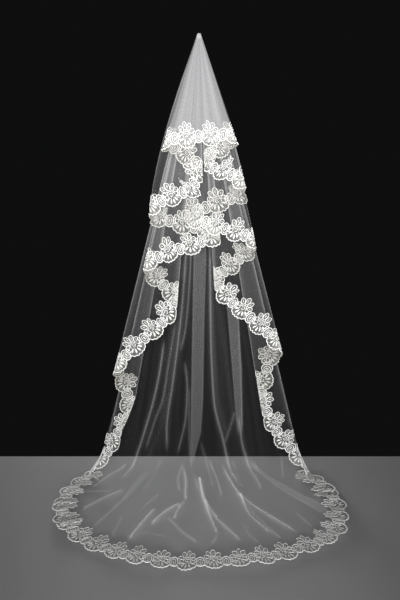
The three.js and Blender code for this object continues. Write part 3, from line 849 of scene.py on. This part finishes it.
def lace_piece(name, motif, band, seed):
    """One piece of lace: the motif repeated along the whole band, no two repeats quite alike."""
    points, stitches, quads, tris = motif.whole()
    along, across, wrong_side_shade = stitches.T
    chance = np.random.default_rng(seed)
    lace = Shape()
    window = np.sin(math.pi * points[:, 0] / REPEAT) ** 2
    corners = np.array([-1.0, *band.places[1:-1]])
    for i in range(band.repeats):
        shift_u, shift_v, grow, lean = chance.normal(0, UNEVEN)
        u = points[:, 0] + window * (shift_u + lean * (points[:, 1] - WAIST[1]))
        v = LACE_STRETCH * (points[:, 1] + window * (shift_v + grow * points[:, 1]))
        place_at = np.interp(i + u / REPEAT, band.numbers, band.places)
        # Painted shade on the threads' undersides: full near folded corners, where the lace shows its wrong
        # side in shadow, and a share of it elsewhere
        away = np.min(np.abs(place_at[:, None] - corners), axis=1)
        painted_shade = UNDERSIDE_SHADE_SHARE + (1 - UNDERSIDE_SHADE_SHARE) * np.exp(-(away / CORNER_SHADE_REACH) ** 2)
        lace.add(band.map(place_at, v, points[:, 2]),
                 np.column_stack([along + i * REPEAT, across, wrong_side_shade * painted_shade]), quads, tris)
    points, stitches, quads, tris = lace.whole()
    return make_mesh(name, points, quads, tris, stitch=stitches)


def net_piece(name, points, cover, flat, quads):
    """A piece of net from grids of its points, its cover and its places in the flat cloth."""
    flat = joined(*flat, np.zeros_like(points[..., 0]))
    return make_mesh(name, points.reshape(-1, 3), quads, cover=cover.ravel(), flat=flat.reshape(-1, 3))


def gathered_more(distance):
    """How much more the net covers at a distance from the tip than where it hangs free."""
    return 1 + NET_GATHER * np.exp(-np.maximum(distance, EVENLY_GATHERED) / GATHER_FADE)


def front_cover(fan, turn, radius):
    """Cover of the front tier and the sides: even in front, gathered at the sides, denser at folds."""
    apart = np.abs(fan.turns[:, None] - fan.tips[None, :])
    bulges = fan.flares[2]
    bulged = bulges[np.argmin(apart, axis=1)] == bulges.max()
    shows = smooth((radius - np.where(bulged, BULGED_FROM, FOLDS_FROM)) / FOLDS_FADE)
    fold = np.exp(-(np.min(apart, axis=1) * radius / FOLD_WIDTH) ** 2) * shows
    streak = 1 + 0.14 * np.sin(turn * 97) * np.sin(turn * 41 + 0.7) + 0.10 * np.sin(turn * 213)
    right, left = fan.tips[len(RIGHT_FOLDS) - 1:len(RIGHT_FOLDS) + 1]
    in_front = smooth((turn - right) / FRONT_FADE) * smooth((left - turn) / FRONT_FADE)
    plain = NET_COVER * (1 + SIDE_GATHER * (gathered_more(radius) - 1))
    plain = streak * (plain + (FRONT_COVER - plain) * in_front)
    return plain + (FOLD_COVER - NET_COVER) * fold


def front_net(fan, band):
    """The net of the front tier and the sides, down to the lace, and its flat area."""
    inner = band.line + band.normal * EDGE_NET
    turn_at = np.arctan2(-inner[:, 0], -inner[:, 1])
    order = np.argsort(turn_at)
    end = np.interp(fan.turns, turn_at[order], np.hypot(inner[order, 0], inner[order, 1]))
    top = TOP_DROP + GATHER
    radius = top + (end - top) * np.linspace(0, 1, FRONT_ROWS)[:, None] ** 0.9
    turn = np.broadcast_to(fan.turns, radius.shape)
    flat = (-radius * np.sin(turn), -radius * np.cos(turn))
    piece = net_piece("front_and_sides_net", fan.point(turn, radius), front_cover(fan, turn, radius),
                      flat, grid_quads(*radius.shape))
    cells = (radius[1:, :-1] ** 2 - radius[:-1, :-1] ** 2) / 2 * np.diff(fan.turns)
    return piece, float(cells.sum())


def back_grid(band, across):
    """The back sheet's mesh as (sideways, down and along): straight on the wall, then out to the lace."""
    inner = band.line + band.normal * EDGE_NET
    spread = across * (1 + 0.3 * (1 - np.abs(across)))
    place_at = (spread + 1) / 2 * (len(inner) - 1)
    edge_x, edge_y = between(place_at, np.arange(len(inner)), inner).T
    bend_s = HANG_HEIGHT + BEND_RADIUS
    edge_s = np.maximum(HANG_HEIGHT - edge_y, bend_s + 0.002)
    left, right = LEFT_FOLDS[-1], RIGHT_FOLDS[-1]
    slope = across * np.where(across < 0, -left["slope"], right["slope"])
    share = across ** 2 * np.where(across < 0, left["flare"], right["flare"])
    top_rows = np.linspace(TOP_DROP, FINE_FROM, TOP_ROWS)[:-1]
    wall_s = np.concatenate([top_rows, np.linspace(FINE_FROM, bend_s, LOW_ROWS)])[:, None]
    wall_drop = np.minimum(wall_s, HANG_HEIGHT)
    wall_x = slope * (1 + flare(share, left["drop"], wall_drop)) * (wall_drop + GATHER)
    t = np.linspace(0, 1, TRAIN_ROWS)[1:, None]
    x = np.concatenate([wall_x, wall_x[-1] * (1 - t) + edge_x * t])
    s = np.concatenate([np.broadcast_to(wall_s, wall_x.shape), bend_s * (1 - t) + edge_s * t])
    return x, s


def back_cover(across, x, s):
    """Cover of the plain back sheet: streaked and gathered high up, denser at its folded sides."""
    fan = x / (s + GATHER)
    streak = 1 + 0.20 * np.sin(fan * 120 + 1.1) * np.sin(fan * 47) + 0.14 * np.sin(fan * 290)
    fade = 1 - 0.7 * smooth((s - 1.5) / 0.6)
    from_side = (1 - np.abs(across)) * (s + GATHER) * 0.25
    side = np.exp(-(from_side / FOLD_WIDTH) ** 2) * (s < HANG_HEIGHT)
    side *= smooth((s - FOLDS_FROM) / FOLDS_FADE)
    plain = NET_COVER * (1 + (streak - 1) * fade) * gathered_more(s)
    return plain, (FOLD_COVER - NET_COVER) * side


def back_net(band):
    """The net of the back fall and the train, down to the lace, and its flat area."""
    across = np.linspace(-1, 1, BACK_COLUMNS)
    x, s = back_grid(band, across)
    added, height = crease_cover(x, s)
    plain, side = back_cover(across, x, s)
    points = back_point(x, s, height + slow_swell(x, s))
    piece = net_piece("back_fall_and_train_net", points, plain + added + side, (x, -s),
                      grid_quads(*x.shape)[:, ::-1])
    cells = 0.5 * ((x[1:, 1:] - x[:-1, :-1]) * (s[1:, :-1] - s[:-1, 1:])
                   - (x[1:, :-1] - x[:-1, 1:]) * (s[1:, 1:] - s[:-1, :-1]))
    return piece, float(np.abs(cells).sum())


def gathered_tip():
    """The tip where all the layers are drawn together, with small pleats."""
    polar = np.linspace(0.02, math.pi - 0.02, 22)[:, None]
    turn = np.linspace(0, 2 * math.pi, 96)[None, :]
    pointed = 0.72 - 0.28 * np.cos(polar)
    pleat = 1 + 0.09 * np.sin(turn * 17) * np.sin(polar) + 0.05 * np.sin(turn * 29 + 1) * np.sin(polar)
    width, depth, half_height = TIP_SIZE
    x = width * np.sin(polar) * np.cos(turn) * pleat * pointed
    y = depth * np.sin(polar) * np.sin(turn) * pleat * pointed - 0.0006
    z = half_height * np.cos(polar) - half_height + 0 * turn
    flat = (0.02 * turn + 0 * polar, 0.02 * polar + 0 * turn)
    return net_piece("gathered_tip_net", joined(x, y, z), np.full(x.shape, TIP_COVER),
                     flat, grid_quads(*x.shape))


# Materials
def set_inputs(node, **values):
    """Set inputs of a node. An underscore stands for a space in an input's name."""
    for name, value in values.items():
        node.inputs[name.replace("_", " ")].default_value = value


class Shading:
    """A new material, its shader and short ways to add nodes to it."""

    def __init__(self, name, **values):
        self.material = bpy.data.materials.new(name)
        self.material.use_nodes = True
        self.nodes = self.material.node_tree.nodes
        self.link = self.material.node_tree.links.new
        self.shader = self.nodes["Principled BSDF"]
        set_inputs(self.shader, **values)

    def attribute(self, name, output):
        node = self.nodes.new("ShaderNodeAttribute")
        node.attribute_name = name
        return node.outputs[output]

    def node(self, kind, vector, **values):
        """A node that takes a vector."""
        node = self.nodes.new("ShaderNode" + kind)
        set_inputs(node, **values)
        self.link(vector, node.inputs["Vector"])
        return node

    def math(self, operation, *values, clamp=False):
        node = self.nodes.new("ShaderNodeMath")
        node.operation = operation
        node.use_clamp = clamp
        for socket, value in zip(node.inputs, values):
            if isinstance(value, (int, float)):
                socket.default_value = value
            else:
                self.link(value, socket)
        return node.outputs[0]

    def bump(self, height, strength, depth):
        bump = self.nodes.new("ShaderNodeBump")
        set_inputs(bump, Strength=strength, Distance=depth)
        self.link(height, bump.inputs["Height"])
        self.link(bump.outputs["Normal"], self.shader.inputs["Normal"])

    def threads(self, vector, cells, width):
        """1 on the threads of a fine net and 0 in its holes."""
        cell = self.node("TexVoronoi", vector, Scale=cells, Randomness=0.35)
        cell.voronoi_dimensions = "2D"
        cell.feature = "DISTANCE_TO_EDGE"
        ramp = self.nodes.new("ShaderNodeMapRange")
        set_inputs(ramp, From_Min=width * 0.6, From_Max=width, To_Min=1, To_Max=0)
        self.link(cell.outputs["Distance"], ramp.inputs["Value"])
        return ramp.outputs["Result"]


def net_material():
    """Fine soft net: threads that hide a small share of what lies behind, denser at creases.

    The denser the cover, the less its threads stand out from its holes."""
    net = Shading("net", Base_Color=NET_COLOUR, Roughness=0.75, Sheen_Weight=0.3, Specular_IOR_Level=0.3)
    cover = net.attribute("cover", "Fac")
    threads = net.threads(net.attribute("flat", "Vector"), NET_CELLS, 0.09)
    contrast = net.math("SUBTRACT", 0.35, cover, clamp=True)
    swing = net.math("MULTIPLY_ADD", threads, 3.2, -1.0)
    swing = net.math("MULTIPLY_ADD", swing, contrast, 1.0)
    net.link(net.math("MULTIPLY", cover, swing, clamp=True), net.shader.inputs["Alpha"])
    net.bump(threads, 0.3, 0.0002)
    return net.material


def ground_material():
    """The dense ground in the lace."""
    ground = Shading("lace ground", Base_Color=GROUND_COLOUR, Roughness=0.8, Sheen_Weight=0.2)
    threads = ground.threads(ground.attribute("stitch", "Vector"), GROUND_CELLS, 0.13)
    alpha = ground.math("MULTIPLY_ADD", threads, 2 * GROUND_COVER, 0.02, clamp=True)
    ground.link(alpha, ground.shader.inputs["Alpha"])
    return ground.material


def thread_material(name, colour, groove_shade_and_tone, wrong_side_shade, stitches, slant, depth):
    """Thread laid in close stitches: fine ridges across its length, a soft gloss and slight unevenness.

    The third colour, duller and creamier, is painted shade on the thread's underside, which shows on the
    reverse side of the cloth."""
    thread = Shading(name, Roughness=0.55, Sheen_Weight=0.25, Specular_IOR_Level=0.4)
    stitch = thread.attribute("stitch", "Vector")
    turned = thread.node("Mapping", stitch, Rotation=(0, 0, slant))
    wave = thread.node("TexWave", turned.outputs["Vector"], Scale=stitches, Distortion=1.2, Detail=2)
    wave.bands_direction = "X"
    uneven = thread.node("TexNoise", stitch, Scale=90, Detail=3)
    # The stitch ridges mix the colour towards the deeper one in their grooves, which is painted shade, and
    # the noise varies the tone at random
    tone = thread.math("MULTIPLY_ADD", wave.outputs["Fac"], 0.5, 0.25)
    tone = thread.math("MULTIPLY_ADD", uneven.outputs["Fac"], 0.6, tone, clamp=True)
    right_side, with_painted_shade = thread.nodes.new("ShaderNodeMix"), thread.nodes.new("ShaderNodeMix")
    right_side.data_type = "RGBA"
    set_inputs(right_side, A=(*groove_shade_and_tone, 1), B=(*colour, 1))
    thread.link(tone, right_side.inputs["Factor"])
    # Then towards the painted shade colour on the undersides, by the stitch's third value
    with_painted_shade.data_type = "RGBA"
    set_inputs(with_painted_shade, B=(*wrong_side_shade, 1))
    thread.link(right_side.outputs["Result"], with_painted_shade.inputs["A"])
    thread.link(thread.node("SeparateXYZ", stitch).outputs["Z"], with_painted_shade.inputs["Factor"])
    thread.link(with_painted_shade.outputs["Result"], thread.shader.inputs["Base Color"])
    thread.bump(wave.outputs["Fac"], 0.6, depth)
    return thread.material


def cord_material():
    # The second colour is partly painted shade in the grooves between stitches and partly uneven tone
    # The third colour is painted shade on the thread undersides
    return thread_material("lace cord", colour=(0.90, 0.90, 0.89), groove_shade_and_tone=(0.72, 0.71, 0.69),
                           wrong_side_shade=(0.20, 0.185, 0.145), stitches=380, slant=0.9, depth=0.0003)


def satin_material():
    # The second colour is partly painted shade in the grooves between stitches and partly uneven tone
    # The third colour is painted shade on the thread undersides
    return thread_material("lace satin", colour=(0.88, 0.88, 0.865), groove_shade_and_tone=(0.68, 0.67, 0.64),
                           wrong_side_shade=(0.06, 0.055, 0.045), stitches=520, slant=1.35, depth=0.0002)


def floor_material():
    """Plain, pale and matt."""
    return Shading("floor", Base_Color=FLOOR_COLOUR, Roughness=0.85, Specular_IOR_Level=0.2).material


# Stage
def make_floor():
    corners = [(-FLOOR_HALF, -FLOOR_HALF), (FLOOR_HALF, -FLOOR_HALF),
               (FLOOR_HALF, FLOOR_BACK), (-FLOOR_HALF, FLOOR_BACK)]
    points = np.array([(x, y, FLOOR - FLOOR_SINK) for x, y in corners])
    floor = make_mesh("floor", points, np.array([[0, 1, 2, 3]]))
    floor.data.materials.append(floor_material())


def area_light(name, place, target, size, power, spread):
    """A round soft light that shines at target, spread in degrees."""
    data = bpy.data.lights.new(name, "AREA")
    data.shape = "DISK"
    data.size = size
    data.energy = power
    data.spread = math.radians(spread)
    light = bpy.data.objects.new(name, data)
    light.location = place
    light.rotation_euler = (Vector(target) - Vector(place)).to_track_quat("-Z", "Y").to_euler()
    bpy.context.scene.collection.objects.link(light)


def make_lights():
    for light in LIGHTS:
        area_light(**light)
    world = bpy.data.worlds.new("studio")
    world.use_nodes = True
    set_inputs(world.node_tree.nodes["Background"], Color=STUDIO_COLOUR, Strength=1.0)
    bpy.context.scene.world = world


def make_camera():
    data = bpy.data.cameras.new("camera")
    data.lens = CAMERA_LENS
    data.sensor_width = CAMERA_SENSOR
    camera = bpy.data.objects.new("camera", data)
    camera.location = CAMERA_PLACE
    camera.rotation_euler = (math.radians(90 - CAMERA_DOWN), 0, 0)
    bpy.context.scene.collection.objects.link(camera)
    bpy.context.scene.camera = camera


def build():
    fan = Fan()
    hanging_band = Band(fan.edge(), -1, fan.surface, -1, fan.lace_marks())
    train_band = Band(train_lace_line(), 1, train_surface, 1, (), TRAIN_FOLDS)
    net = net_material()
    front, front_area = front_net(fan, hanging_band)
    back, back_area = back_net(Band(train_outline(), 1, train_surface, 1))
    tip = gathered_tip()
    for piece in (front, back, tip):
        piece.data.materials.append(net)
    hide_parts("front_and_sides")
    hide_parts("back_fall", "train")
    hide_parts("gathered_tip")

    motifs = (("cords", motif_cords(), cord_material()), ("satin", motif_satin(), satin_material()),
              ("ground", motif_ground(), ground_material()))
    hung, lying = [], []
    for place_name, band, made in (("hanging_lace", hanging_band, hung), ("train_lace", train_band, lying)):
        for kind, motif, material in motifs:
            piece = lace_piece(f"{place_name}_{kind}", motif, band, 11)
            piece.data.materials.append(material)
            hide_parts(place_name)
            made.append(piece)
    for piece in (front, back, tip, *hung, *lying):
        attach(piece, "root")


bpy.context.scene.cycles.transparent_max_bounces = 80
bpy.context.scene.view_settings.view_transform = "Standard"
make_floor()
make_lights()
make_camera()
build()
